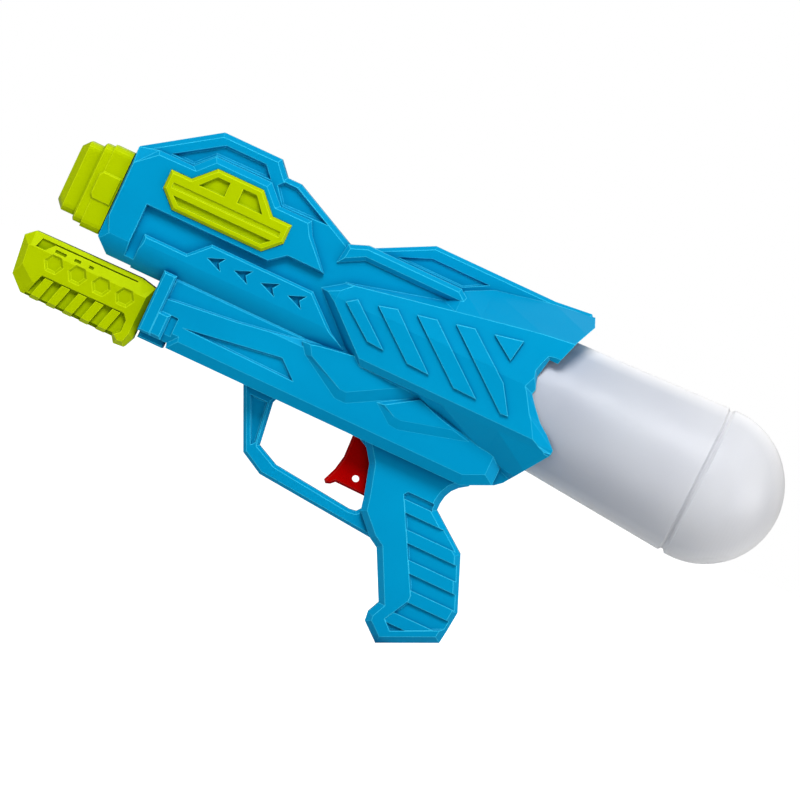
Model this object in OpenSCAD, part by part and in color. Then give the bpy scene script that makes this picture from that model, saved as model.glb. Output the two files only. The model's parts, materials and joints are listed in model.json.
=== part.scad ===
// Toy water blaster with a sliding pump handle, a trigger valve and a screw-on water bottle.
// The muzzle points to -X, the bottle to +X and +Z is up.
// The origin is the middle of the flat end of the grip.
// Side outlines are lists of [x, z] corners, anticlockwise when seen from the left (-Y) side.

/* [Body] */
// Width of the front housing across its flat side plates
body_w = 50; // [46:1:54]
// Thickness of the body walls
wall = 2.4; // [2:0.1:3]
// Width of the grip
grip_w = 28; // [26:1:30]
// Width of the trigger guard
guard_w = 16; // [14:1:18]

/* [Nozzle] */
// Height and width of the nozzle shroud
shroud_size = 44.5; // [42:0.5:45]
// Bore of the nozzle shroud
shroud_bore = 25; // [20:1:28]
// Hole the water leaves through
jet_bore = 2.2; // [1.5:0.1:3]

/* [Pump] */
// Travel of the pump handle
pump_stroke = 50; // [30:1:50]
// Width of the pump handle
handle_w = 38; // [34:1:42]
// Bore of the pump cylinder
pump_bore = 19; // [17:0.5:20]
// Diameter of the pump rod
rod_d = 8; // [7:0.5:9]

/* [Bottle] */
// Largest diameter of the bottle
bottle_d = 80; // [76:1:80]
// Wall of the bottle
bottle_wall = 1.6; // [1.2:0.1:2]
// Advance of the bottle thread for one turn
thread_pitch = 4; // [3:0.5:5]

/* [Trigger] */
// Width of the trigger
trigger_w = 10; // [8:0.5:12]
// Diameter of the trigger pin
pin_d = 4; // [3:0.5:5]

/* [Hidden] */

eps = 0.01;
fit = 0.05;              // radial clearance of running fits
blue = [0.0, 0.58, 0.82];
green = [0.72, 0.84, 0.05];
red = [0.72, 0.02, 0.02];
white = [0.92, 0.93, 0.95];
clear = [0.80, 0.86, 0.90];
steel = [0.70, 0.71, 0.73];
black = [0.12, 0.12, 0.13];
grey = [0.45, 0.47, 0.50];

// ---------------------------------------------------------------- half widths of the body

plate_half = body_w / 2;         // flat side plate and the bar below it
core_half = plate_half - 4;      // hood and the channels between the plates
hood_floor = core_half - 2.2;    // floor of the hood panels
lower_half = plate_half - 1;     // housing around the pump cylinder
collar_half = plate_half + 1;    // raised rims at the front of that housing
badge_floor = plate_half - 3;    // floor of the badge recess
grip_half = grip_w / 2;
guard_half = guard_w / 2;
handle_half = handle_w / 2;
front_room = core_half - 4.6;    // half width of the room inside the front housing
lower_room = plate_half - 5.5;   // half width of the room around the pump cylinder

// ---------------------------------------------------------------- main stations and axes

front_x = -225.5;                // front face of the body
nozzle_z = 142;                  // axis of the nozzle and the barrel tube
pump_z = 99;                     // axis of the pump cylinder and rod
housing_front_x = -188;          // face the pump handle rests against
pivot = [-56, 93];               // trigger pin
valve_x = -48;                   // axis of the upright trigger valve
tilt = 1.9;                      // droop of the bottle axis
dome_centre = [101.5, 134.5];    // middle of the bottle's round end

// ---------------------------------------------------------------- outline helpers

function direction(a, b) = (b - a) / norm(b - a);
function inward(d) = [-d[1], d[0]];
function corner_inset(p, q, r, d) =
    let (n = inward(direction(p, q)), m = inward(direction(q, r)))
    q + d * (n + m) / (1 + n * m);

// Outline moved inwards by d with mitred corners; a negative d moves it outwards.
function inset(o, d) =
    let (n = len(o))
    [for (i = [0 : n - 1]) corner_inset(o[(i + n - 1) % n], o[i], o[(i + 1) % n], d)];

function turn(a, b, c) = (b[0] - a[0]) * (c[1] - a[1]) - (b[1] - a[1]) * (c[0] - a[0]);
function holds(a, b, c, p) = turn(a, b, p) >= 0 && turn(b, c, p) >= 0 && turn(c, a, p) >= 0;

// A corner is an ear when it turns left and no other corner lies in its triangle.
function is_ear(o, left, i) =
    let (n = len(left), a = left[(i + n - 1) % n], b = left[i], c = left[(i + 1) % n])
    turn(o[a], o[b], o[c]) > 0
    && len([for (k = left) if (k != a && k != b && k != c && holds(o[a], o[b], o[c], o[k])) k]) == 0;

function first_ear(o, left, i = 0) =
    i >= len(left) - 1 || is_ear(o, left, i) ? i : first_ear(o, left, i + 1);

// Triangles that fill an outline, found by cutting off one ear at a time.
function triangles(o, left) =
    len(left) == 3 ? [left] :
    let (n = len(left), i = first_ear(o, left), a = left[(i + n - 1) % n], c = left[(i + 1) % n])
    concat([[a, left[i], c]], triangles(o, [for (k = [0 : n - 1]) if (k != i) left[k]]));

function fill(o) = triangles(o, [for (i = [0 : len(o) - 1]) i]);

// Triangles that fill a convex outline of n corners.
function fan(n) = [for (i = [1 : n - 2]) [0, i, i + 1]];

// Solid skinned over rings of points; the rings run anticlockwise seen from the last one.
module skin(rings, foot, cap) {
    n = len(rings[0]);
    last = len(rings) - 1;
    polyhedron(
        points = [for (ring = rings) for (p = ring) p],
        faces = concat(
            foot,
            [for (t = cap) [t[0] + last * n, t[2] + last * n, t[1] + last * n]],
            [for (k = [0 : last - 1]) for (i = [0 : n - 1]) let (j = (i + 1) % n)
                for (f = [[i, i + n, j + n], [i, j + n, j]]) [for (c = f) c + k * n]]));
}

// Solid between side outlines; outline k lies at the distance at[k] left of the centre plane.
module ringed(outlines, at) {
    last = len(outlines) - 1;
    skin([for (k = [0 : last]) [for (p = outlines[k]) [p[0], -at[k], p[1]]]],
        fill(outlines[0]), fill(outlines[last]));
}

// Plate on the left side from depth a to depth b, with its outer edge bevelled.
module relief(o, a, b, bevel = 1, lean = 1) {
    ringed([o, o, inset(o, bevel * lean)], [a, b - bevel, b]);
}

function outer(corners) = [for (c = corners) c[0]];
function face(corners) = [for (c = corners) c[1]];

// Plate on the left side whose bevel runs from its outline to a flat face of its own shape.
module shaped_plate(corners, b, bevel) {
    ringed([outer(corners), outer(corners), face(corners)], [0, b - bevel, b]);
}

// Cutter for a pocket that is open on the outside and narrows towards its floor.
module pocket(o, floor, top, draft = 1) {
    ringed([inset(o, draft), o, o], [floor, top, top + 12]);
}

// Straight prism between two distances left of the centre plane.
module slab(o, a, b) {
    translate([0, -a, 0]) rotate([90, 0, 0]) linear_extrude(b - a) polygon(o);
}

// Round bar across the body.
module cross_bar(at, r, a, b) {
    translate([at[0], -a, at[1]]) rotate([90, 0, 0]) cylinder(h = b - a, r = r, $fn = 48);
}

// Round bar along X.
module x_bar(x0, x1, z, r) {
    translate([x0, 0, z]) rotate([0, 90, 0]) cylinder(h = x1 - x0, r = r, $fn = 64);
}

// Places its children on the bottle axis, local +Z pointing to the rear from the dome centre.
module on_bottle_axis() {
    translate([dome_centre[0], 0, dome_centre[1]]) rotate([0, 90 + tilt, 0]) children();
}

// ---------------------------------------------------------------- side outlines

core_o = [[front_x, 120], [-218, 112.5], [-50, 112.5], [-50, 166], [-60, 169.5], [-101, 169.5],
    [-108, 167.5], [-144.5, 185.2], [-152, 185.2], [-158.5, 192.5], [-190, 192.5], [front_x, 168.5]];
// Side plate: each corner of its outline, then the matching corner of its flat face.
plate_corners = [
    [[front_x, 119.2], [-221, 122.7]], [[-218, 112.5], [-217.4, 113.5]],
    [[-209.5, 112.5], [-210, 113.5]], [[-209.5, 143.2], [-210, 143.9]],
    [[-143.5, 143.2], [-143.7, 143.9]], [[-135.5, 149.6], [-135.8, 150.3]],
    [[-115.5, 149.6], [-117.2, 150.3]], [[-128.5, 164.2], [-129.9, 163.4]],
    [[-132, 170.8], [-133.2, 169]], [[-149, 170.8], [-151.4, 169]],
    [[-158, 179.8], [-159.4, 177]], [[-188.5, 179.8], [-187, 177]],
    [[-197, 170.8], [-194.6, 169]], [[-215.5, 170.8], [-214.6, 168.6]],
    [[front_x, 168.2], [-224.6, 159.8]], [[front_x, 131], [-224.7, 130.7]]];
hood_front_panel = [[-209.5, 171.7], [-197, 171.7], [-188.5, 180.5], [-159, 180.8],
    [-164.5, 187], [-186.5, 187]];
hood_rear_panel = [[-155, 179.8], [-148.5, 171.5], [-123.5, 172.2], [-145.5, 182.7], [-152.5, 182.7]];
bar_o = [[-204.5, 111.6], [-91, 111.6], [-91, 119.3], [-99.5, 124.3], [-116.5, 139.2],
    [-172, 139.2], [-181.5, 129.8], [-204.5, 129.8]];
badge_o = [[-206, 164.7], [-206, 154.7], [-197.5, 146.5], [-148.5, 146.5], [-140, 154.7],
    [-140, 164.7], [-150.5, 164.7], [-160, 174.7], [-185, 174.7], [-195, 164.7]];
badge_front_window = [[-190.5, 163.2], [-176.5, 163.2], [-176.5, 171], [-183.5, 171]];
badge_rear_window = [[-169.5, 163.2], [-155.5, 163.2], [-162, 171], [-169.5, 171]];
badge_groove = [[-202.5, 159.4], [-202.5, 156.4], [-143.5, 156.4], [-143.5, 159.4]];
badge_slot = [[-200, 153.4], [-195.5, 149.6], [-150.5, 149.6], [-146, 153.4]];
lower_o = [[housing_front_x, 85.2], [-172, 85.2], [-171.5, 82.7], [-9.5, 82.7], [5, 89.4],
    [5, 121], [-89, 121], [-110, 117.5], [housing_front_x, 117.2]];
channel_o = [[-181, 105.2], [-145, 109.2], [-112, 114.4], [-84, 119], [-84, 123], [-181, 123]];
dart_o = [[-168, 95.4], [-106.5, 94.4], [-116.5, 103]];
front_scale = [
    [[-111, 114.7], [-106.5, 114.9]], [[-107, 109.2], [-103.5, 110]], [[-84.5, 95.7], [-84, 100.9]],
    [[-78.5, 95.7], [-80.5, 100.9]], [[-44.5, 114.7], [-52.5, 116.8]], [[-52, 120], [-54, 119]],
    [[-90, 120], [-91, 119]]];
rear_scale = [
    [[-64.5, 102.7], [-60.5, 103.2]], [[-54.5, 95.2], [-53.6, 99.9]], [[-49.5, 94.7], [-50, 99.6]],
    [[-14.5, 104.2], [-24.5, 106.2]], [[-17, 106.7], [-25, 107]], [[-32, 110.2], [-33.5, 109]],
    [[-44.5, 114.7], [-45.5, 113]]];
ridge_o = [[-112, 157.5], [-99.5, 164.2], [-40, 164.2], [-50, 171.7], [-101, 171.7], [-110.5, 168]];
spine_o = [[-104, 150], [9, 150], [9, 158.2], [13.5, 171.7], [18.5, 182.2], [14.5, 187.7],
    [-4.5, 185.7], [-70.5, 185.7], [-98, 171.7]];
spine_panel = [[-86, 172.5], [-50, 172.5], [-38, 179.2], [-69.5, 179.2]];

guard_o = [[-129.5, 84], [-114.5, 51.7], [-102.5, 45.2], [-39, 39.7], [-30, 36], [-30, 84]];
guard_opening = [[-111.5, 80.2], [-108.5, 58.2], [-97, 52.7], [-54.5, 48.2], [-51, 48.7],
    [-49, 51.2], [-49, 54.7], [-50.5, 57.2], [-55, 73.2], [-59.5, 79.7], [-65.5, 82.8], [-110.5, 82.8]];
guard_panel = [[-123.5, 79.5], [-112.8, 56.5], [-111, 58.5], [-114, 79.5]];
grip_o = [[-34, 36.7], [-21.5, 12.2], [-24.5, 5.7], [-24, 1.2], [-14.5, -6.7], [14.5, 6.7],
    [15.5, 14.2], [16.5, 24.2], [5.5, 51.2], [-14.5, 66.2], [-14.5, 70.4], [-13.8, 74.2],
    [-12.1, 77.9], [-9.3, 81], [-5, 84], [-5, 92], [-68.2, 92], [-55, 73.2], [-50.5, 57.2],
    [-49, 50], [-39, 39.7]];
grip_panel = [[-33, 66.7], [-8.5, 22], [-8.5, 19.2], [-15.5, 6.2], [-10.5, 1.7], [15.5, 14],
    [16.5, 24.2], [5.5, 51.2], [-16.5, 65.5], [-16.5, 68.7], [-31.5, 68.7]];

// ---------------------------------------------------------------- body shells

screw_points = [[-214, 163, 18], [-214, 121.5, 18], [-174, 184, 18], [-107, 158, 18],
    [-148, 119.5, 20.5], [-24, 92, 21], [-10, 50, 12], [-2, 14, 12]];
screw_d = 3;
screw_head_d = 5.6;
screw_seat = 6;          // height of the screw seat above the centre plane
screw_len = 16;

// Half width of the flared rear cover along the body.
function flare(x) = lookup(x, [[-118, 22.5], [-104, 28], [0, 37.6], [30, 39.4]]);
// Height of the top edge of the rear cover.
function ridge_z(x) = lookup(x, [[-118, 146], [-104.5, 149.7], [-30, 163.8], [20, 172.8]]);
// Inner end of the sloping shoulder above that edge, as half width and height.
function shoulder_y(x) =
    lookup(x, [[-118, 15], [-104.5, 20.5], [-56, 20.5], [-48, 18.5], [-35, 11], [30, 8]]);
function shoulder_z(x) =
    lookup(x, [[-118, 147], [-104.5, 150.3], [-56, 162.8], [-48, 171.5], [-35, 178], [-4, 184.3], [30, 188.4]]);
// Height at which the tail under the bottle meets the side of the lower housing.
function tail_z(x) = lookup(x, [[-118, 113], [-45, 113.5], [-33, 109], [10, 98.2], [30, 94]]);

crease_z = 142;
band_z = 119;            // lower edge of the rear cover
cover_mid_z = 130;
side_lean = 0.18;        // how far the side leans in above its crease, for each mm of height

// Right half of the cross-section of the rear cover, as [y, z] from the bottom to the top.
function cover_side(x) = [
    [lookup(x, [[-118, 16], [-10, 16], [30, 10]]), lookup(x, [[-118, 86], [-10, 86], [30, 88]])],
    [lower_half - 1.5, tail_z(x)],
    [flare(x) - 3.2, band_z - 3.5],
    [flare(x) - 0.6, band_z],
    [flare(x), crease_z],
    [flare(x) - side_lean * (ridge_z(x) - crease_z), ridge_z(x)],
    [shoulder_y(x), shoulder_z(x)]];
// Whole cross-section, made smaller by `less` all round.
function cover_ring(x, less) =
    let (h = [for (p = cover_side(x)) p - less * [1, sign(p[1] - cover_mid_z)]], n = len(h))
    concat(h, [for (i = [n - 1 : -1 : 0]) [-h[i][0], h[i][1]]]);

cover_stations = [-118, -104.5, -56, -48, -35, -4, 30];

// Solid through the cross-sections of the rear cover, made smaller by `less`.
module cover_solid(less = 0) {
    rings = [for (x = cover_stations) cover_ring(x, less)];
    last = len(rings) - 1;
    skin([for (k = [0 : last]) [for (p = rings[k]) [cover_stations[k], p[0], p[1]]]],
        fill(rings[0]), fill(rings[last]));
}

// Rear edge of the cover: the lip next to the bottle and the outer skin in front of it.
lip_edge = [[24.5, 114.7], [25, 116], [25, 118.2], [15.5, 127.2], [6.5, 138.2], [2.5, 148.2],
    [4.5, 158.2], [9, 158.2], [13.5, 171.7], [18.5, 182.2], [14.5, 192]];
skin_edge = [[24.5, 114.7], [17, 115], [12.5, 117.7], [4.8, 130], [-3, 142.2], [-1.5, 153],
    [0, 163.7], [11, 166.5], [13.5, 171.7], [18.5, 182.2], [14.5, 192]];
cover_foot = [[-104.5, 192], [-104.5, 149.7], [-114.5, 142.7], [-88, 118], [-46, 84]];
cover_brow = [[-95, 192], [-95, 150.5], [-104, 142.5], [-78, 118], [-36, 84]];
cover_end = [[-9.5, 82.7], [6, 89.7], [9.5, 92.7]];

// Left half of the cover: its cross-sections, trimmed to sloping front and rear edges.
module cover() {
    intersection() {
        cover_solid();
        ringed([
            concat(cover_foot, cover_end, lip_edge),
            concat(cover_foot, cover_end, lip_edge),
            concat(cover_brow, cover_end, lip_edge),
            concat(cover_brow, cover_end, skin_edge),
            concat(cover_brow, cover_end, skin_edge)], [-1, core_half - 1, 33, 38.6, 41]);
    }
}

// Slanted pads raised on the rear cover.
pad_outlines = [
    [[-99.5, 141.7], [-81.5, 128.2], [-72.5, 127.7], [-94.5, 145.2]],
    [[-84, 146.7], [-59, 126.7], [-47, 126.2], [-74.5, 149.2]],
    [[-64.5, 150.7], [-33, 125.5], [-20.5, 125.2], [-54.5, 152.7]],
    [[-45, 154.7], [-6.5, 123.7], [-2.5, 124.2], [-11.5, 138.2], [-35.5, 156.7]],
    [[-25.5, 158.2], [-13, 149.7], [-11, 161.2]]];
pad_height = 1.3;

// The pads stand evenly above the faceted side of the cover.
module cover_pads() {
    intersection() {
        for (o = pad_outlines) slab(o, lower_half, 45);
        cover_solid(-pad_height);
    }
}

// ---------------------------------------------------------------- details of the shells

arrow_pitch = 14.75;
arrow = [[-171.5, 132.2], [-162.5, 128.6], [-165, 132.2], [-162.5, 135.8]];
rib_pitch = 13.4;
rib_height = 6;
rib_count = 5;
first_rib_top = 64.7;

// Everything the front housing may fill: below curve_z its sides curve inwards.
curve_z = 129;
curve_r = 20;
module rounded_belly() {
    translate([-300, curve_r - plate_half - 0.9, curve_z]) rotate([0, 90, 0])
        cylinder(h = 300, r = curve_r, $fn = 96);
    translate([-300, -60, curve_z]) cube([300, 61, 100]);
}

module front_half() {
    difference() {
        intersection() {
            union() {
                relief(core_o, 0, core_half, 2.3);
                shaped_plate(plate_corners, plate_half, 2.2);
                relief(bar_o, 0, plate_half + 0.6, 1.2);
            }
            rounded_belly();
        }
        pocket(hood_front_panel, hood_floor, core_half);
        pocket(hood_rear_panel, hood_floor, core_half);
        slab(inset(badge_o, -0.15), badge_floor, plate_half + 5);
        for (i = [0 : 3])
            pocket([for (p = arrow) p + [i * arrow_pitch, 0]], plate_half - 1.4, plate_half + 0.6, 0.7);
        for (peg = badge_pegs) cross_bar(peg, badge_peg_d / 2 + fit, front_room - 1, plate_half);
    }
}

collar = [[housing_front_x, 85.2], [-175.5, 85.2], [-175.5, 98.7], [housing_front_x, 98.7]];
front_rim = [[housing_front_x, 85.2], [-181, 85.2], [-181, 117.6], [housing_front_x, 117.6]];
collar_groove = [[-175.5, 84], [-171.6, 84], [-171.6, 98.7], [-175.5, 98.7]];
under_tab = [[-186.7, 81.7], [-173, 81.7], [-173, 88], [-186.7, 88]];

module lower_half_body() {
    difference() {
        union() {
            relief(lower_o, 0, lower_half, 3, 1.8);
            relief(collar, 0, collar_half - 0.4, 1.4);
            relief(front_rim, 0, collar_half, 1);
            relief(under_tab, 0, lower_half - 6, 0.8);
            shaped_plate(front_scale, lower_half + 2.2, 2.2);
            shaped_plate(rear_scale, lower_half + 1.6, 1.6);
        }
        pocket(channel_o, lower_half - 2, lower_half + 0.2, 0.8);
        pocket(dart_o, lower_half - 1.6, lower_half, 0.8);
        slab(collar_groove, lower_half - 1, collar_half + 1);
    }
}

module upper_rear_half() {
    difference() {
        union() {
            cover();
            cover_pads();
            relief(ridge_o, 0, core_half + 3, 2);
            relief(spine_o, 0, 9.5, 1.8);
        }
        pocket(spine_panel, 8.2, 9.5, 0.7);
    }
}

module guard_half_body() {
    difference() {
        relief(guard_o, 0, guard_half, 1.6);
        slab(guard_opening, -1, guard_half + 1);
        ringed([inset(guard_opening, 0), inset(guard_opening, -1.6), inset(guard_opening, -2)],
            [guard_half - 1.6, guard_half, guard_half + 1]);
        pocket(guard_panel, guard_half - 1.2, guard_half, 0.6);
    }
}

module grip_half_body() {
    difference() {
        relief(grip_o, 0, grip_half, 3.2);
        difference() {
            pocket(grip_panel, grip_half - 1.6, grip_half, 0.8);
            for (i = [0 : rib_count - 1])
                let (top = first_rib_top - i * rib_pitch)
                slab([[-40, top - rib_height], [30, top - rib_height], [30, top], [-40, top]],
                    0, grip_half - 0.3);
        }
    }
}

module rooms() {
    slab(inset(core_o, wall), -1, front_room);
    slab(inset(lower_o, wall), -1, lower_room);
    slab(inset(grip_o, 3), -1, grip_half - 4);
    intersection() {
        cover_solid(4);
        translate([-64, -60, 80]) cube([48, 70, 120]);
    }
}

// Space for the bottle: its straight side, its shoulder and its neck behind the socket.
bottle_gap = 0.8;
module bottle_space() {
    on_bottle_axis() rotate_extrude($fn = 96) polygon([
        [0, -neck_end_s + 2],
        [neck_r + bottle_gap + 4, -neck_end_s + 2],
        [neck_r + bottle_gap + 4, -neck_s - 4],
        [neck_r + bottle_gap + 13, -neck_s - 1],
        [bottle_front_r + bottle_gap, -shoulder_s - 3],
        [bottle_front_r + bottle_gap, -shoulder_s],
        [bottle_d / 2 + bottle_gap, 0],
        [0, 0]]);
}

trigger_slot = [[-72, 54], [-35, 54], [-35, 92], [-72, 92]];

module half_body() {
    difference() {
        union() {
            difference() {
                union() {
                    front_half();
                    lower_half_body();
                    upper_rear_half();
                    guard_half_body();
                    grip_half_body();
                }
                rooms();
            }
            intersection() {
                frames();
                union() {
                    slab(inset(core_o, 1), 0, core_half - 3.4);
                    slab(inset(lower_o, 1), 0, lower_half - 3.4);
                    cover_solid(3);
                }
            }
            cross_bar(pivot, 4.5, trigger_w / 2 + 0.4, lower_half - 2);
        }
        bottle_space();
        slab(trigger_slot, -1, trigger_w / 2 + 0.3);
        cross_bar(pivot, pin_d / 2 + fit, -1, 14);
        x_bar(front_x - 5, front_x + 10, nozzle_z, shroud_neck_r + fit);
        x_bar(housing_front_x - 5, housing_front_x + 9, pump_z, gland_nose_r + fit);
        translate([-300, 0, -50]) cube([600, 100, 300]);
    }
}

shroud_neck_r = 15;
gland_nose_r = 8;

// Plates inside the shells that hold the tubes, the nozzle, the cylinder and the tank socket.
frame_t = 3;
module frames() {
    half_plate(-217, 125, 160) x_bar(-220, -210, nozzle_z, 6.5 + fit);
    half_plate(-160, 128, 156) x_bar(-170, -140, nozzle_z, 6 + fit);
    half_plate(-165, 84, 113) x_bar(-170, -150, pump_z, cylinder_r + fit);
    half_plate(-128, 84, 113) x_bar(-140, -120, pump_z, cylinder_r + fit);
    difference() {
        on_bottle_axis() translate([0, 0, -socket_flange_s - 4]) cylinder(h = 8, r = 31, $fn = 96);
        on_bottle_axis() {
            translate([0, 0, -socket_flange_s - 5]) cylinder(h = 12, r = socket_r + fit, $fn = 96);
            translate([0, 0, -socket_flange_s - frame_t / 2 - 0.05])
                cylinder(h = frame_t + 0.1, r = socket_r + 3 + fit, $fn = 96);
        }
    }
}
module half_plate(x, z0, z1) {
    difference() {
        translate([x, -30, z0]) cube([frame_t, 30, z1 - z0]);
        children();
    }
}

module left_shell() {
    color(blue) difference() {
        union() {
            half_body();
            for (p = screw_points) cross_bar([p[0], p[1]], 4, 0, p[2]);
        }
        for (p = screw_points) cross_bar([p[0], p[1]], screw_d / 2, -1, screw_len - screw_seat + 0.5);
    }
}

module right_shell() {
    color(blue) mirror([0, 1, 0]) difference() {
        union() {
            half_body();
            for (p = screw_points) cross_bar([p[0], p[1]], 5, 0, p[2]);
        }
        for (p = screw_points) {
            cross_bar([p[0], p[1]], screw_d / 2 + 0.1, -1, 40);
            cross_bar([p[0], p[1]], screw_head_d / 2 + 0.3, screw_seat, 40);
        }
    }
}

// One self-tapping screw from the right side, drawn plain.
module shell_screw(at, seat, length) {
    translate([at[0], seat, at[1]]) rotate([90, 0, 0]) {
        cylinder(h = length, r = screw_d / 2, $fn = 32);
        translate([0, 0, -2]) difference() {
            cylinder(h = 2, r = screw_head_d / 2, $fn = 32);
            for (a = [0, 90]) rotate(a) translate([-1.6, -0.35, -eps]) cube([3.2, 0.7, 1.1]);
        }
    }
}

module shell_screws() {
    color(steel) for (p = screw_points) shell_screw([p[0], p[1]], screw_seat, screw_len);
}

// ---------------------------------------------------------------- badges

badge_pegs = [[-200, 159], [-146, 159]];
badge_peg_d = 3;

module badge() {
    difference() {
        union() {
            relief(badge_o, badge_floor, plate_half + 2, 1.4);
            for (p = badge_pegs) cross_bar(p, badge_peg_d / 2, front_room, badge_floor + 1);
        }
        pocket(badge_front_window, plate_half, plate_half + 2, 0.5);
        pocket(badge_rear_window, plate_half, plate_half + 2, 0.5);
        pocket(badge_slot, plate_half + 0.4, plate_half + 2, 0.5);
        pocket(badge_groove, plate_half + 1.2, plate_half + 2, 0.5);
    }
}

module left_badge() {
    color(green) badge();
}

module right_badge() {
    color(green) mirror([0, 1, 0]) badge();
}

// ---------------------------------------------------------------- nozzle

tube_r = 6;

// Rectangle with rounded corners, standing across the body at x.
corner_steps = 4;
function rounded_ring(x, wide, high, r) =
    [for (q = [0 : 3]) for (i = [0 : corner_steps])
        let (a = 90 * q + 90 * i / corner_steps, side = [1, -1, -1, 1], up = [1, 1, -1, -1])
        [x, side[q] * (wide / 2 - r) + r * cos(a), nozzle_z + up[q] * (high / 2 - r) + r * sin(a)]];

// Outside of the shroud from its mouth to the body: station, then how much narrower and lower it is.
shroud_steps = [[-251.5, 12, 15], [-248, 4.4, 7], [-241.2, 4.4, 7], [-241.2, 2, 5], [-240.4, 0.4, 2.4],
    [-236.2, 0.4, 2.4], [-236.2, 0, 0], [front_x - 0.5, 0, 0]];
shroud_pad = [[-238, 147.6], [-238, 136.8], [-236.2, 134.8], [front_x - 1, 134.8],
    [front_x - 1, 149.6], [-236.2, 149.6]];

module nozzle_shroud() {
    color(green) difference() {
        union() {
            skin([for (s = shroud_steps) rounded_ring(s[0], shroud_size - s[1], shroud_size - s[2], 4)],
                fan(4 * (corner_steps + 1)), fan(4 * (corner_steps + 1)));
            for (side = [0, 1]) mirror([0, side, 0])
                relief(shroud_pad, shroud_size / 2 - 1, shroud_size / 2 + 0.8, 0.6);
            x_bar(front_x - 1, -217.1, nozzle_z, shroud_neck_r);
            x_bar(front_x + wall + 0.1, front_x + wall + 2.1, nozzle_z, front_room - 0.1);
        }
        x_bar(-252, -241.4, nozzle_z, shroud_bore / 2);
        x_bar(-242, -216, nozzle_z, tube_r + 1 + fit);
    }
}

module nozzle_tip() {
    color(grey) difference() {
        union() {
            translate([-247, 0, nozzle_z]) rotate([0, 90, 0]) cylinder(h = 4, r1 = 5, r2 = 8, $fn = 48);
            x_bar(-243, -241.5, nozzle_z, 8);
            x_bar(-241.6, -232, nozzle_z, tube_r - 1.6);
        }
        x_bar(-250, -230, nozzle_z, jet_bore / 2);
    }
}

barrel_rear_x = -146;
module barrel_tube() {
    color(clear) difference() {
        x_bar(-241.4, barrel_rear_x, nozzle_z, tube_r);
        x_bar(-242, -231.9, nozzle_z, tube_r - 1.6 + 0.02);
        x_bar(-233, barrel_rear_x + 1, nozzle_z, tube_r - 2);
    }
}

// Bent hose: a Bezier curve through control points, with a round section.
hose_steps = 14;
hose_sides = 20;
function blend(path, t) =
    len(path) == 1 ? path[0] :
    blend([for (i = [0 : len(path) - 2]) (1 - t) * path[i] + t * path[i + 1]], t);
function heading(path, t) =
    let (d = blend(path, min(t + 0.001, 1)) - blend(path, max(t - 0.001, 0))) d / norm(d);
function hose_ring(path, t, r) =
    let (along = heading(path, t), across = cross(along, [0, 1, 0]), u = across / norm(across),
        v = cross(along, u))
    [for (i = [0 : hose_sides - 1]) let (a = i * 360 / hose_sides)
        blend(path, t) + r * (u * cos(a) + v * sin(a))];
module hose_core(path, r) {
    skin([for (k = [0 : hose_steps]) hose_ring(path, k / hose_steps, r)], fan(hose_sides), fan(hose_sides));
}
module hose(path, r, bore) {
    first = path[0];
    last = path[len(path) - 1];
    difference() {
        hose_core(path, r);
        hose_core(concat([first - eps * heading(path, 0)], [for (p = path) p],
            [last + eps * heading(path, 1)]), bore);
    }
}

delivery_path = [[barrel_rear_x + 0.1, 0, nozzle_z], [-125, 0, nozzle_z], [-100, -15, nozzle_z],
    [-100, -17, 112], [-72, 0, 110], [-54.1, 0, 110]];
module delivery_hose() {
    color(clear) hose(delivery_path, 3.6, 2);
}

// ---------------------------------------------------------------- pump handle

// Corners of the handle's outline, then of its flat face.
handle_corners = [
    [[-254.5, 108.5], [-254, 101]], [[-259, 104.5], [-254.9, 100.4]],
    [[-256.5, 84.2], [-253.8, 90.8]], [[-249, 77.3], [-245.6, 84.7]],
    [[-198.5, 76.7], [-199.5, 79.2]], [[-196.3, 73.7], [-195.3, 76]],
    [[-190.8, 74.2], [-192.6, 76.4]], [[-188.3, 79.7], [-191.3, 81]],
    [[-188.3, 107.4], [-190.8, 101.2]], [[-196.5, 109.2], [-194, 101]]];
handle_bevel = 3.4;
handle_window = [[-246.8, 78], [-198, 77.6], [-195, 80.5], [-195, 86.7], [-197.5, 89.8], [-242.5, 89.5]];
handle_notch = [[-246.8, 70], [-198.6, 70], [-198.6, 78.4], [-246.8, 78.4]];
handle_slot = [[-251.5, 101.4], [-246.5, 101.4], [-242.5, 105.6], [-197.5, 106.2], [-197.5, 107.2],
    [-250, 106.6]];
handle_dashes = [[-241.5, -235.5], [-231, -227.5], [-223, -220.5]];
handle_dash_z = [102.4, 104];
function dash_outline(ends, z) = [[ends[0], z[0]], [ends[1], z[0]], [ends[1], z[1]], [ends[0], z[1]]];
handle_rib_pitch = 9.2;
handle_rib_w = 4.6;
handle_rib_lean = 4.4;
hexagon_r = 3.7;
hexagon_rim = 1.6;
hexagon_x = [-239.5, -226.5, -213.5, -200.5];
hexagon_z = 97;
handle_screws = [[-247, 85], [-199, 84]];

// Slanted ribs that cross the window of the handle and stand a little below its edge.
module handle_ribs() {
    for (i = [0 : 4]) let (x = -244.5 + i * handle_rib_pitch)
        slab([[x, 75.4], [x + handle_rib_w, 75.4], [x + handle_rib_w + handle_rib_lean, 90.5],
            [x + handle_rib_lean, 90.5]], 0, handle_half - 0.5);
}

module handle_body() {
    difference() {
        shaped_plate(handle_corners, handle_half, handle_bevel);
        pocket(handle_window, handle_half - 2.6, handle_half, 0.8);
        slab(handle_notch, handle_half - 5.6, handle_half + 1);
    }
    intersection() {
        handle_ribs();
        ringed([inset(handle_window, -1.2), inset(handle_window, -1.2), inset(handle_window, 0.8)],
            [0, handle_half - 3, handle_half - 0.4]);
    }
}

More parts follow.
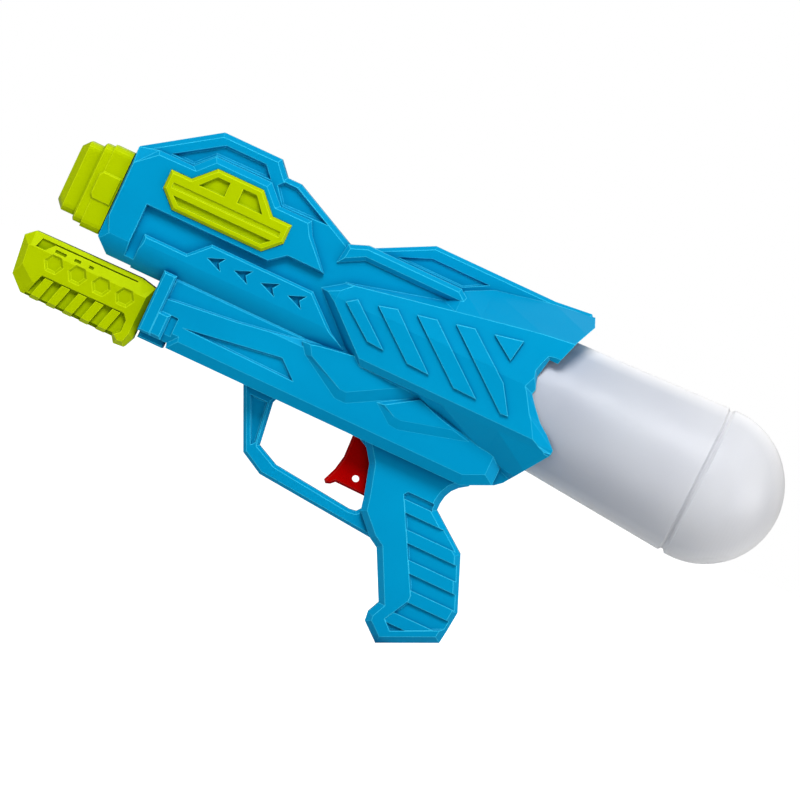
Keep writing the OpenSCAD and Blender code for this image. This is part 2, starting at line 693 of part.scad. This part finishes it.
module handle_half() {
    difference() {
        union() {
            difference() {
                handle_body();
                slab(inset(outer(handle_corners), wall + 0.4), -1, handle_half - 6);
                pocket(handle_slot, handle_half - 3.4, handle_half, 0.2);
                for (ends = handle_dashes)
                    slab(dash_outline(ends, handle_dash_z), handle_half - 2, handle_half + 1);
                for (x = hexagon_x)
                    translate([x, -handle_half + 1.4, hexagon_z]) rotate([90, 0, 0])
                        cylinder(h = 2.8, r1 = hexagon_r, r2 = hexagon_r + 2 * hexagon_rim, $fn = 6);
            }
            for (p = handle_screws) cross_bar(p, 4, 0, handle_half - 5);
            cross_bar([rod_pin_x, pump_z], 6, rod_d / 2 + 0.3, handle_half - 5);
        }
        x_bar(-254, -180, pump_z, rod_d / 2 + fit);
        cross_bar([rod_pin_x, pump_z], rod_pin_d / 2 + fit, -1, 13);
        translate([-300, 0, 0]) cube([200, 60, 200]);
    }
}

rod_pin_x = -244;
rod_pin_d = 3;

module pump_grip_left() {
    color(green) difference() {
        handle_half();
        for (p = handle_screws) cross_bar(p, screw_d / 2, -1, 10.5);
    }
}

module pump_grip_right() {
    color(green) mirror([0, 1, 0]) difference() {
        handle_half();
        for (p = handle_screws) {
            cross_bar(p, screw_d / 2 + 0.1, -1, 40);
            cross_bar(p, screw_head_d / 2 + 0.3, screw_seat, 40);
        }
    }
}

module pump_grip_screws() {
    color(steel) for (p = handle_screws) shell_screw(p, screw_seat, screw_len);
}

// ---------------------------------------------------------------- air pump

rod_front_x = -251;
piston_x = -127;         // front face of the piston with the handle pushed back
piston_len = 10;
cylinder_r = pump_bore / 2 + 1.8;
cylinder_x0 = piston_x - pump_stroke - 7;
cylinder_x1 = -112;
ring_bar_r = 1;

module pump_rod() {
    color(white) difference() {
        union() {
            x_bar(rod_front_x, piston_x, pump_z, rod_d / 2);
            x_bar(piston_x - eps, piston_x + piston_len - 2, pump_z, 2.5);
        }
        cross_bar([rod_pin_x, pump_z], rod_pin_d / 2 + fit, -10, 10);
    }
}

module rod_pin() {
    color(steel) cross_bar([rod_pin_x, pump_z], rod_pin_d / 2, -12.5, 12.5);
}

module pump_piston() {
    color(black) difference() {
        x_bar(piston_x, piston_x + piston_len, pump_z, pump_bore / 2 - fit);
        x_bar(piston_x - 1, piston_x + piston_len - 2 + eps, pump_z, 2.5);
        translate([piston_x + 5, 0, pump_z]) rotate([0, 90, 0]) rotate_extrude($fn = 64)
            translate([pump_bore / 2 - 1.6, -1.1]) square([3, 2.2]);
    }
}

module piston_oring() {
    color(black) translate([piston_x + 5, 0, pump_z]) rotate([0, 90, 0]) rotate_extrude($fn = 64)
        translate([pump_bore / 2 - ring_bar_r / 2 - 0.06, 0]) square([ring_bar_r, 2], center = true);
}

module pump_cylinder() {
    color(white) difference() {
        x_bar(cylinder_x0, cylinder_x1, pump_z, cylinder_r);
        x_bar(cylinder_x0 - 1, cylinder_x1 + 1, pump_z, pump_bore / 2);
    }
}

module cylinder_gland() {
    color(black) difference() {
        union() {
            x_bar(housing_front_x + 0.2, cylinder_x0, pump_z, gland_nose_r);
            x_bar(cylinder_x0 - eps, cylinder_x0 + 6, pump_z, pump_bore / 2);
        }
        x_bar(housing_front_x - 1, cylinder_x0 + 8, pump_z, rod_d / 2 + fit);
    }
}

// Rear cap of the cylinder with the upright check valve in its tail.
check_x = -100;
ball_r = 2.4;
seat_z = 100;
module cylinder_end_cap() {
    color(grey) difference() {
        union() {
            x_bar(cylinder_x1 - 4, cylinder_x1 + 4, pump_z, pump_bore / 2 - eps);
            x_bar(cylinder_x1 + eps, cylinder_x1 + 4, pump_z, cylinder_r);
            translate([check_x, 0, pump_z - 6]) cylinder(h = 20, r = 6, $fn = 48);
            x_bar(cylinder_x1 + 3, check_x, pump_z, 5);
        }
        translate([0, 0, -2]) x_bar(cylinder_x1 - 5, check_x, pump_z, 1.2);
        translate([check_x, 0, pump_z - 3.2]) cylinder(h = 10, r = 1.2, $fn = 32);
        translate([check_x, 0, seat_z]) cylinder(h = 9, r = ball_r + 0.1, $fn = 48);
        translate([check_x, 0, seat_z + 8]) cylinder(h = 10, r = 1.4, $fn = 32);
    }
}

module check_ball() {
    color(steel) translate([check_x, 0, seat_z + ball_r]) sphere(r = ball_r, $fn = 48);
}

// Closed rings stand for the turns of a spring.
module coils(r, bar, turns, height) {
    for (i = [0 : turns - 1]) translate([0, 0, bar + i * (height - 2 * bar) / (turns - 1)])
        rotate_extrude($fn = 32) translate([r, 0]) circle(r = bar, $fn = 16);
}

module check_spring() {
    color(steel) translate([check_x, 0, seat_z + 2 * ball_r]) coils(1.6, 0.25, 5, 4.1);
}

air_path = [[check_x, 0, pump_z + 14.1], [check_x, 0, 124], [-97, 20, 126], [-80, 20, 150],
    [-62, 0, 148.4], [-45, 0, 148.3]];
module air_hose() {
    color(clear) hose(air_path, 2.6, 1.4);
}

// ---------------------------------------------------------------- bottle and socket, along the bottle axis

shoulder_s = 99;         // front of the bottle's straight side
neck_s = 116;            // rear of the neck
bottle_front_r = 33.7;
neck_r = 14;
socket_r = 18;
socket_flange_s = 131;
socket_back_s = 120;
thread_turns = 2;
neck_end_s = socket_back_s + thread_turns * thread_pitch + 6;   // mouth of the bottle
socket_front_s = 144;

// Half outline of the outside of the bottle as [radius, distance], from the mouth to the dome.
function bottle_side(d) = concat(
    [[neck_r - d, -neck_end_s], [neck_r - d, -neck_s - d]],
    [for (a = [0 : 6 : 90]) [neck_r + 3 - d + (bottle_front_r - neck_r - 3) * sin(a),
        -shoulder_s - (neck_s - shoulder_s - 3) * cos(a)]],
    [[bottle_d / 2 - 0.4 - d, -6.5], [bottle_d / 2 - 1.7 - d, -5.4], [bottle_d / 2 - 1.7 - d, -4.2],
        [bottle_d / 2 - d, -2.8]],
    [for (a = [0 : 3 : 90]) [(bottle_d / 2 - d) * cos(a), (bottle_d / 2 - d) * sin(a)]]);

module tank_bottle() {
    color(white) on_bottle_axis() difference() {
        rotate_extrude($fn = 128) polygon(concat([[0, -neck_end_s]], bottle_side(0)));
        rotate_extrude($fn = 128) polygon(concat(
            [[0, -neck_end_s - 1], [neck_r - bottle_wall - 1, -neck_end_s - 1]],
            bottle_side(bottle_wall + 0.2)));
    }
}

module socket_tube(s0, s1, r) {
    translate([0, 0, -s0]) cylinder(h = s0 - s1, r = r, $fn = 96);
}

module tank_socket() {
    color(black) on_bottle_axis() difference() {
        union() {
            socket_tube(socket_front_s, socket_back_s, socket_r);
            socket_tube(socket_flange_s + frame_t / 2, socket_flange_s - frame_t / 2, socket_r + 3);
        }
        socket_tube(socket_front_s - 5, socket_back_s - 1, neck_r + fit);
        socket_tube(socket_front_s + 1, socket_front_s - 6, dip_r + 0.02);
        for (away = [-9, 9]) translate([away, 0, 0]) socket_tube(socket_front_s + 1, socket_front_s - 6, 1.4);
    }
}

module tank_seal() {
    color(black) on_bottle_axis() difference() {
        socket_tube(socket_front_s - 5 - eps, neck_end_s + eps, neck_r - 0.1);
        socket_tube(socket_front_s, neck_end_s - 2, neck_r - 3);
    }
}

dip_r = 3;
dip_end_s = 30;
module dip_tube() {
    color(clear) on_bottle_axis() difference() {
        socket_tube(socket_front_s - 0.5, dip_end_s, dip_r);
        socket_tube(socket_front_s + 1, dip_end_s - 1, dip_r - 1);
    }
}

module dip_filter() {
    color(grey) on_bottle_axis() difference() {
        socket_tube(dip_end_s + 5, dip_end_s - 9, 5);
        socket_tube(dip_end_s + 6, dip_end_s, dip_r);
        socket_tube(dip_end_s + 1, dip_end_s - 7, dip_r - 0.2);
        for (a = [0 : 45 : 315]) rotate(a) translate([3.6, 0, -dip_end_s + 2]) cube([6, 1, 5]);
    }
}

outlet_path = [[-44.8, 0, 130.4], [-50, 0, 130.4], [valve_x, 0, 127], [valve_x, 0, 119.6]];
module outlet_hose() {
    color(clear) hose(outlet_path, 2.6, 1.4);
}

// ---------------------------------------------------------------- valve and trigger

valve_foot = 102;
valve_top = 119.5;
stem_foot = 98;
valve_bore = 3.2;

module valve_body() {
    color(grey) difference() {
        union() {
            translate([valve_x, 0, valve_foot]) cylinder(h = valve_top - valve_foot, r = 6, $fn = 48);
            for (side = [-1, 1]) translate([valve_x, side * 10, 107]) cube([6, 19, 3], center = true);
        }
        translate([valve_x, 0, valve_foot - 1]) cylinder(h = 3, r = 1.5 + fit, $fn = 32);
        translate([valve_x, 0, valve_foot + 1.6]) cylinder(h = 14.4, r = valve_bore, $fn = 48);
        translate([valve_x, 0, valve_top - 3]) cylinder(h = 5, r = 1.4, $fn = 32);
        x_bar(valve_x - 8, valve_x, 110, 1.4);
    }
}

module valve_stem() {
    color(white) translate([valve_x, 0, stem_foot]) {
        cylinder(h = 12, r = 1.5, $fn = 32);
        translate([0, 0, 6.4]) cylinder(h = 1.2, r = 2.6, $fn = 32);
        translate([0, 0, 11]) cylinder(h = 2, r = 2.6, $fn = 32);
    }
}

module valve_seal() {
    color(black) translate([valve_x, 0, stem_foot + 7.62]) rotate_extrude($fn = 48)
        translate([1.52, 0]) square([valve_bore - 1.58, 2]);
}

valve_spring_foot = stem_foot + 13.02;
valve_spring_top = valve_top - 1.62;
module valve_spring() {
    color(steel) translate([valve_x, 0, valve_spring_foot])
        coils(2, 0.3, 6, valve_spring_top - valve_spring_foot);
}

trigger_o = [[-68.5, 84], [-68, 70.7], [-69.5, 63.2], [-72.2, 56.4], [-70.8, 54.8], [-68.5, 55.6],
    [-66.5, 57.5], [-46, 57.2], [-46, 76], [-48, 86], [-50.5, 93], [-54, 98.5], [-58, 98.5], [-62, 94]];
lobe = [8, 2];
lobe_r = 3;
trigger_hole = [-58, 63.2];

module trigger() {
    color(red) difference() {
        union() {
            relief(trigger_o, -0.001, trigger_w / 2, 1.2);
            mirror([0, 1, 0]) relief(trigger_o, -0.001, trigger_w / 2, 1.2);
            cross_bar(pivot + lobe, lobe_r, -3, 3);
            slab([pivot + [0, -3], pivot + [8, -1], pivot + [8, 4.5], pivot + [0, 5]], -3, 3);
        }
        cross_bar(pivot, pin_d / 2 + fit, -10, 10);
        cross_bar(trigger_hole, 1.8, -10, 10);
        for (side = [-1, 1]) translate([pivot[0], side * 4.6, pivot[1]]) rotate([90, 0, 0])
            cylinder(h = 2.2, r = 4.4, center = true, $fn = 48);
    }
}

module trigger_pin() {
    color(steel) cross_bar(pivot, pin_d / 2, -13.8, 13.8);
}

module trigger_spring() {
    color(steel) translate([pivot[0], 0, pivot[1]]) rotate([90, 0, 0]) {
        for (side = [-1, 1]) for (i = [0 : 2]) translate([0, 0, side * (3.82 + i * 0.6)])
            rotate_extrude($fn = 32) translate([3.3, 0]) circle(r = 0.25, $fn = 16);
    }
}

// Ring round a hose at the fraction t of its path.
module hose_clip(path, t, r) {
    along = heading(path, t);
    translate(blend(path, t)) rotate([0, acos(along[2]), atan2(along[1], along[0])]) difference() {
        cylinder(h = 2.4, r = r + 1, center = true, $fn = 40);
        cylinder(h = 4, r = r + 0.2, center = true, $fn = 40);
    }
}

module hose_clips() {
    color(steel) {
        hose_clip(delivery_path, 0.04, 3.6);
        hose_clip(delivery_path, 0.96, 3.6);
        hose_clip(air_path, 0.08, 2.6);
        hose_clip(outlet_path, 0.85, 2.6);
    }
}

left_shell();
right_shell();
shell_screws();
left_badge();
right_badge();
nozzle_shroud();
nozzle_tip();
barrel_tube();
delivery_hose();
pump_grip_left();
pump_grip_right();
pump_grip_screws();
pump_rod();
rod_pin();
pump_piston();
piston_oring();
pump_cylinder();
cylinder_gland();
cylinder_end_cap();
check_ball();
check_spring();
air_hose();
tank_socket();
tank_seal();
tank_bottle();
dip_tube();
dip_filter();
outlet_hose();
valve_body();
valve_stem();
valve_seal();
valve_spring();
trigger();
trigger_pin();
trigger_spring();
hose_clips();
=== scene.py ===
"""Looks for the toy water blaster: its materials, wound springs, studio and camera, round the CAD frame."""

import json
import math

import bpy
from mathutils import Matrix, Vector


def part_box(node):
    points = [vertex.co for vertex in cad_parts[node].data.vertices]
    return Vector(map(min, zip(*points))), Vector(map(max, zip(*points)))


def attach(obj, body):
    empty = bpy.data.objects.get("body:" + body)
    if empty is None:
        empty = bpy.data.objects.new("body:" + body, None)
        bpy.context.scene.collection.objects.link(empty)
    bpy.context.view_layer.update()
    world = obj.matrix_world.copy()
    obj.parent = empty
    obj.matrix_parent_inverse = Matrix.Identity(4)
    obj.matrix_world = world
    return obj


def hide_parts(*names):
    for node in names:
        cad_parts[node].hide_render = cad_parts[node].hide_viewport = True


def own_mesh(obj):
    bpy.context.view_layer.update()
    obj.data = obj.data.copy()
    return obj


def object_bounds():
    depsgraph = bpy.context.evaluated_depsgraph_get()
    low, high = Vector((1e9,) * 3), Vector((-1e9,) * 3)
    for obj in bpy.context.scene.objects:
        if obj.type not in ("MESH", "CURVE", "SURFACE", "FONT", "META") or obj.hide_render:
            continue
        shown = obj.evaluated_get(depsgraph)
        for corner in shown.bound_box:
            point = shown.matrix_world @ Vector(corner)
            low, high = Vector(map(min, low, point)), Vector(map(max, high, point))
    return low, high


MM = 0.001
CREASE_MM = 5            # reach of the shading in corners
EDGE_MM = 0.55           # radius of the moulded edges
EDGE_MATCH = (0.95, 0.997)   # cosines of the turn on a full edge and at its rim
GREY_X = 0.02            # painted shade makes the bottle greyest where it leaves the body
PALE_X = 0.15            # and painted light makes it palest just past its round end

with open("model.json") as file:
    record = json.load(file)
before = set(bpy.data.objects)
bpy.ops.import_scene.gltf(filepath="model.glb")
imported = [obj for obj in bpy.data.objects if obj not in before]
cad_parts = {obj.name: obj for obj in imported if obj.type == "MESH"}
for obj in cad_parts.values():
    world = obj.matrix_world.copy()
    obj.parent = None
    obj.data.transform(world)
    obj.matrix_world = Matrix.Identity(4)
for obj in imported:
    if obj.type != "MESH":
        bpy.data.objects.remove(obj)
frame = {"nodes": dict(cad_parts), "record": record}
nodes = frame["nodes"]
cad_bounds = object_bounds()


# ---------------------------------------------------------------- material helpers

class Nodes:
    """A material's node tree with short ways to add and join nodes."""

    def __init__(self, name):
        self.material = bpy.data.materials.new(name)
        self.material.use_nodes = True
        self.tree = self.material.node_tree
        self.tree.nodes.clear()
        self.place = self.add("ShaderNodeTexCoord").outputs["Object"]

    def add(self, kind, **settings):
        node = self.tree.nodes.new(kind)
        for key, value in settings.items():
            setattr(node, key, value)
        return node

    def join(self, source, target):
        self.tree.links.new(source, target)

    def noise(self, size_mm, detail=3.0, stretch=(1, 1, 1)):
        """Noise whose features are about size_mm across; stretch makes them longer along an axis."""
        mapping = self.add("ShaderNodeMapping")
        mapping.inputs["Scale"].default_value = [1 / s for s in stretch]
        self.join(self.place, mapping.inputs["Vector"])
        node = self.add("ShaderNodeTexNoise")
        node.inputs["Scale"].default_value = 1 / (size_mm * MM)
        node.inputs["Detail"].default_value = detail
        self.join(mapping.outputs["Vector"], node.inputs["Vector"])
        return node.outputs["Fac"]

    def spread(self, source, low, high, start=0.3, stop=0.7):
        """Maps a value from start..stop to low..high."""
        node = self.add("ShaderNodeMapRange")
        node.inputs["From Min"].default_value = start
        node.inputs["From Max"].default_value = stop
        node.inputs["To Min"].default_value = low
        node.inputs["To Max"].default_value = high
        self.join(source, node.inputs["Value"])
        return node.outputs["Result"]

    def tint(self, factor, first, second):
        """Colour that goes from first to second as factor goes from 0 to 1; either may be a socket."""
        node = self.add("ShaderNodeMix", data_type="RGBA")
        self.join(factor, node.inputs["Factor"])
        for colour, socket in ((first, node.inputs["A"]), (second, node.inputs["B"])):
            if isinstance(colour, bpy.types.NodeSocket):
                self.join(colour, socket)
            else:
                socket.default_value = (*colour, 1)
        return node.outputs["Result"]

    def crease(self, reach_mm):
        """1 on open faces, falling towards 0 in corners where other faces lie within reach."""
        node = self.add("ShaderNodeAmbientOcclusion", samples=8)
        node.inputs["Distance"].default_value = reach_mm * MM
        return node.outputs["AO"]

    def rolled(self, radius_mm):
        """Normal that rolls over every sharp edge with this radius."""
        node = self.add("ShaderNodeBevel", samples=6)
        node.inputs["Radius"].default_value = radius_mm * MM
        return node.outputs["Normal"]

    def edge(self, rolled):
        """1 on the rolled strip along sharp edges, 0 on the faces, by how far the normal has turned."""
        flat = self.add("ShaderNodeNewGeometry").outputs["True Normal"]
        match = self.add("ShaderNodeVectorMath", operation="DOT_PRODUCT")
        self.join(rolled, match.inputs[0])
        self.join(flat, match.inputs[1])
        return self.spread(match.outputs["Value"], 1.0, 0.0, *EDGE_MATCH)

    def product(self, first, second):
        node = self.add("ShaderNodeMath", operation="MULTIPLY")
        self.join(first, node.inputs[0])
        self.join(second, node.inputs[1])
        return node.outputs["Value"]

    def bump(self, height, depth_mm, under=None):
        node = self.add("ShaderNodeBump")
        node.inputs["Distance"].default_value = depth_mm * MM
        self.join(height, node.inputs["Height"])
        if under is not None:
            self.join(under, node.inputs["Normal"])
        return node.outputs["Normal"]

    def finish(self, colour, roughness, normal=None, **inputs):
        shader = self.add("ShaderNodeBsdfPrincipled")
        self.join(colour, shader.inputs["Base Color"])
        self.join(roughness, shader.inputs["Roughness"])
        if normal is not None:
            self.join(normal, shader.inputs["Normal"])
        for key, value in inputs.items():
            shader.inputs[key.replace("_", " ")].default_value = value
        output = self.add("ShaderNodeOutputMaterial")
        self.join(shader.outputs["BSDF"], output.inputs["Surface"])
        return self.material


def moulded(name, base, cloud_and_corner_shade, pale):
    """Injection-moulded plastic: flow clouding, painted shade in the corners, rolled edges with a painted
    pale highlight, and a fine skin.
    """
    n = Nodes(name)
    clouded = n.tint(n.spread(n.noise(45, 2.0, (2.5, 1, 1)), 0.0, 0.25), base, cloud_and_corner_shade)
    opening = n.crease(CREASE_MM)
    # Painted shade: the colour goes darker in corners where the AO finds other faces close by.
    shaded = n.tint(n.spread(opening, 0.0, 1.0, start=0.35, stop=0.95), cloud_and_corner_shade, clouded)
    rolled = n.rolled(EDGE_MM)
    # Painted highlight: the pale colour on open rolled edges, kept out of the corners.
    painted_edge_highlight = n.product(n.edge(rolled), n.spread(opening, 0.0, 1.0, start=0.5, stop=0.8))
    colour = n.tint(painted_edge_highlight, shaded, pale)
    grain = n.bump(n.noise(0.35, 2.0), 0.012, rolled)
    skin = n.bump(n.noise(14, 1.0), 0.05, grain)
    return n.finish(colour, n.spread(n.noise(6, 4.0), 0.31, 0.43), skin,
                    Specular_IOR_Level=0.2, Specular_Tint=(*pale, 1))


def bottle_plastic():
    """Blow-moulded milky plastic: painted shade greys it towards the neck, painted light pales it towards
    its round end and a painted rim light towards its outline, with a wavy wall.
    """
    n = Nodes("bottle_plastic")
    along = n.add("ShaderNodeSeparateXYZ")
    n.join(n.place, along.inputs["Vector"])
    # Painted light and shade: darker where the bottle leaves the body, lighter towards its round end where
    # light comes through the milky wall.
    lit_towards_dome = n.spread(along.outputs["X"], 0.0, 1.0, start=GREY_X, stop=PALE_X)
    grey = n.tint(lit_towards_dome, (0.42, 0.45, 0.53), (0.72, 0.73, 0.77))
    pale = n.tint(lit_towards_dome, (0.46, 0.50, 0.57), (0.80, 0.80, 0.83))
    body = n.tint(n.spread(n.noise(60, 2.0), 0.0, 1.0), grey, pale)
    # Painted rim light: the colour pales to near white towards the bottle's outline.
    rim_light_mask = n.add("ShaderNodeLayerWeight").outputs["Facing"]
    colour = n.tint(n.spread(rim_light_mask, 0.0, 1.0, start=0.45, stop=1.0), body, (0.96, 0.96, 0.98))
    wall = n.bump(n.noise(26, 1.5, (3, 1, 1)), 0.35)
    skin = n.bump(n.noise(0.6, 2.0), 0.008, wall)
    return n.finish(colour, n.spread(n.noise(12, 3.0), 0.34, 0.46), skin,
                    Subsurface_Weight=0.4, Subsurface_Radius=(1, 1.02, 1.1), Subsurface_Scale=5 * MM,
                    Specular_IOR_Level=0.4)


def rubber():
    n = Nodes("rubber")
    colour = n.tint(n.spread(n.noise(3, 4.0), 0.0, 1.0), (0.012, 0.012, 0.013), (0.028, 0.028, 0.03))
    return n.finish(colour, n.spread(n.noise(2, 3.0), 0.55, 0.75), n.bump(n.noise(0.2, 2.0), 0.01))


def zinc_steel():
    n = Nodes("zinc_steel")
    colour = n.tint(n.spread(n.noise(2.5, 4.0), 0.0, 1.0), (0.52, 0.53, 0.55), (0.66, 0.67, 0.68))
    scratches = n.bump(n.noise(0.15, 2.0, (1, 6, 1)), 0.004)
    return n.finish(colour, n.spread(n.noise(0.8, 3.0), 0.22, 0.38), scratches, Metallic=1.0)


def clear_hose():
    n = Nodes("clear_hose")
    colour = n.tint(n.spread(n.noise(8, 2.0), 0.0, 1.0), (0.74, 0.82, 0.85), (0.82, 0.88, 0.90))
    return n.finish(colour, n.spread(n.noise(3, 3.0), 0.12, 0.24), n.bump(n.noise(5, 1.0), 0.03),
                    Transmission_Weight=0.7, IOR=1.42)


# Each moulding's face colour, a darker colour for flow clouds and painted shade in corners, and a pale
# colour for painted highlights on edges.
materials = {
    "blue_shell": moulded("blue_shell", (0.0, 0.300, 0.570), (0.0, 0.150, 0.340), (0.05, 0.66, 0.94)),
    "green_trim": moulded("green_trim", (0.440, 0.570, 0.000), (0.230, 0.340, 0.000), (0.66, 0.82, 0.01)),
    "red_plastic": moulded("red_plastic", (0.520, 0.000, 0.000), (0.260, 0.000, 0.000), (0.70, 0.03, 0.02)),
    "white_plastic": moulded("white_plastic", (0.80, 0.81, 0.82), (0.70, 0.71, 0.73), (0.85, 0.86, 0.87)),
    "grey_plastic": moulded("grey_plastic", (0.19, 0.20, 0.22), (0.15, 0.16, 0.18), (0.27, 0.28, 0.30)),
    "black_plastic": moulded("black_plastic", (0.022, 0.022, 0.024), (0.016, 0.016, 0.018),
                             (0.05, 0.05, 0.055)),
    "bottle_plastic": bottle_plastic(),
    "clear_tube": clear_hose(),
    "rubber": rubber(),
    "steel": zinc_steel(),
}
slot_of = {part["node"]: part["material_slot"] for part in frame["record"]["subparts"]}

for name, slot_name in slot_of.items():
    piece = nodes[name]
    if not piece.material_slots:
        piece.data.materials.append(materials[slot_name])
    for slot in piece.material_slots:
        slot.material = materials[slot_name]


# ---------------------------------------------------------------- springs

TURN_STEPS = 28
WIRE_SIDES = 10


def coil_spring(node, turns, wire_mm):
    """Wound wire in place of the CAD node's rings."""
    low, high = (Vector(corner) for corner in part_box(node))
    wire = wire_mm * MM
    middle = (low + high) / 2
    radius = (high.x - low.x) / 2 - wire
    rise = high.z - low.z - 2 * wire
    steps = turns * TURN_STEPS
    up = Vector((0, 0, 1))
    points = []
    for step in range(steps + 1):
        turn = 2 * math.pi * step / TURN_STEPS
        out = Vector((math.cos(turn), math.sin(turn), 0))
        centre = Vector((middle.x, middle.y, low.z + wire + rise * step / steps)) + radius * out
        for side in range(WIRE_SIDES):
            angle = 2 * math.pi * side / WIRE_SIDES
            points.append(centre + wire * (math.cos(angle) * out + math.sin(angle) * up))
    faces = [tuple(range(WIRE_SIDES)), tuple(reversed(range(steps * WIRE_SIDES, len(points))))]
    for start in range(0, steps * WIRE_SIDES, WIRE_SIDES):
        for side in range(WIRE_SIDES):
            a = start + side
            b = start + (side + 1) % WIRE_SIDES
            faces.append((a, a + WIRE_SIDES, b + WIRE_SIDES, b))
    mesh = bpy.data.meshes.new(node + "_coil")
    mesh.from_pydata(points, [], faces)
    mesh.shade_smooth()
    mesh.materials.append(materials["steel"])
    piece = bpy.data.objects.new(node + "_coil", mesh)
    bpy.context.scene.collection.objects.link(piece)
    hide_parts(node)
    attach(piece, "body")
    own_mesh(piece)


coil_spring("check_spring", turns=5, wire_mm=0.25)
coil_spring("valve_spring", turns=6, wire_mm=0.3)


# ---------------------------------------------------------------- studio

def surround(seen, cast, mirrored):
    """White surroundings: their brightness to the camera, as light on the object, and in reflections."""
    world = bpy.data.worlds.new("studio")
    bpy.context.scene.world = world
    world.use_nodes = True
    tree = world.node_tree
    background = tree.nodes["Background"]
    background.inputs["Color"].default_value = (1, 1, 1, 1)
    ray = tree.nodes.new("ShaderNodeLightPath")
    strength = cast
    for output, value in (("Is Glossy Ray", mirrored), ("Is Camera Ray", seen)):
        choose = tree.nodes.new("ShaderNodeMapRange")
        choose.inputs["To Max"].default_value = value
        tree.links.new(ray.outputs[output], choose.inputs["Value"])
        if isinstance(strength, float):
            choose.inputs["To Min"].default_value = strength
        else:
            tree.links.new(strength, choose.inputs["To Min"])
        strength = choose.outputs["Result"]
    tree.links.new(strength, background.inputs["Strength"])


def floor(height):
    """Pale paper that looks white to the camera and throws a softer light back at the object."""
    reach = 6.0
    corners = [(-reach, -reach), (reach, -reach), (reach, reach), (-reach, reach)]
    mesh = bpy.data.meshes.new("floor")
    mesh.from_pydata([(x, y, height) for x, y in corners], [], [(0, 1, 2, 3)])
    plane = bpy.data.objects.new("floor", mesh)
    bpy.context.scene.collection.objects.link(plane)
    material = bpy.data.materials.new("floor")
    material.use_nodes = True
    tree = material.node_tree
    tree.nodes.clear()
    white = tree.nodes.new("ShaderNodeEmission")
    paint = tree.nodes.new("ShaderNodeBsdfDiffuse")
    paint.inputs["Color"].default_value = (0.6, 0.6, 0.6, 1)
    seen = tree.nodes.new("ShaderNodeLightPath")
    tree.links.new(seen.outputs["Is Camera Ray"], white.inputs["Strength"])
    total = tree.nodes.new("ShaderNodeAddShader")
    tree.links.new(white.outputs["Emission"], total.inputs[0])
    tree.links.new(paint.outputs["BSDF"], total.inputs[1])
    output = tree.nodes.new("ShaderNodeOutputMaterial")
    tree.links.new(total.outputs["Shader"], output.inputs["Surface"])
    mesh.materials.append(material)


def softbox(name, target, towards, distance, size, power):
    """Square area light seen from the target in the direction `towards`."""
    data = bpy.data.lights.new(name, "AREA")
    data.size = size
    data.energy = power
    lamp = bpy.data.objects.new(name, data)
    bpy.context.scene.collection.objects.link(lamp)
    away = Vector(towards).normalized()
    lamp.location = target + away * distance
    lamp.rotation_euler = away.to_track_quat("Z", "Y").to_euler()


low, high = (Vector(corner) for corner in cad_bounds)
middle = (low + high) / 2
surround(seen=1.0, cast=0.27, mirrored=0.06)
floor(low.z - 0.5 * MM)
softbox("key", middle, towards=(-0.3, -1.0, 1.15), distance=1.2, size=0.5, power=13)
softbox("fill", middle, towards=(1.6, -0.6, 0.05), distance=1.4, size=0.8, power=10)
softbox("back", middle, towards=(0.2, 1.0, 0.9), distance=1.3, size=1.0, power=4)


# ---------------------------------------------------------------- camera

CAMERA_DISTANCE = 6.0
CAMERA_ROLL = 25.0
CAMERA_RISE = 1.0
CAMERA_LENS = 540
AIM = Vector((-54.5, 0, 108.25)) * MM

camera_data = bpy.data.cameras.new("camera")
camera_data.lens = CAMERA_LENS
camera_data.sensor_width = 36
camera = bpy.data.objects.new("camera", camera_data)
bpy.context.scene.collection.objects.link(camera)
rise = math.radians(CAMERA_RISE)
back = Vector((0, -math.cos(rise), math.sin(rise)))
turn = Matrix.Rotation(math.radians(90) - rise, 4, "X") @ Matrix.Rotation(math.radians(CAMERA_ROLL), 4, "Z")
camera.matrix_world = Matrix.Translation(AIM + back * CAMERA_DISTANCE) @ turn
bpy.context.scene.camera = camera
bpy.context.scene.view_settings.view_transform = "Standard"
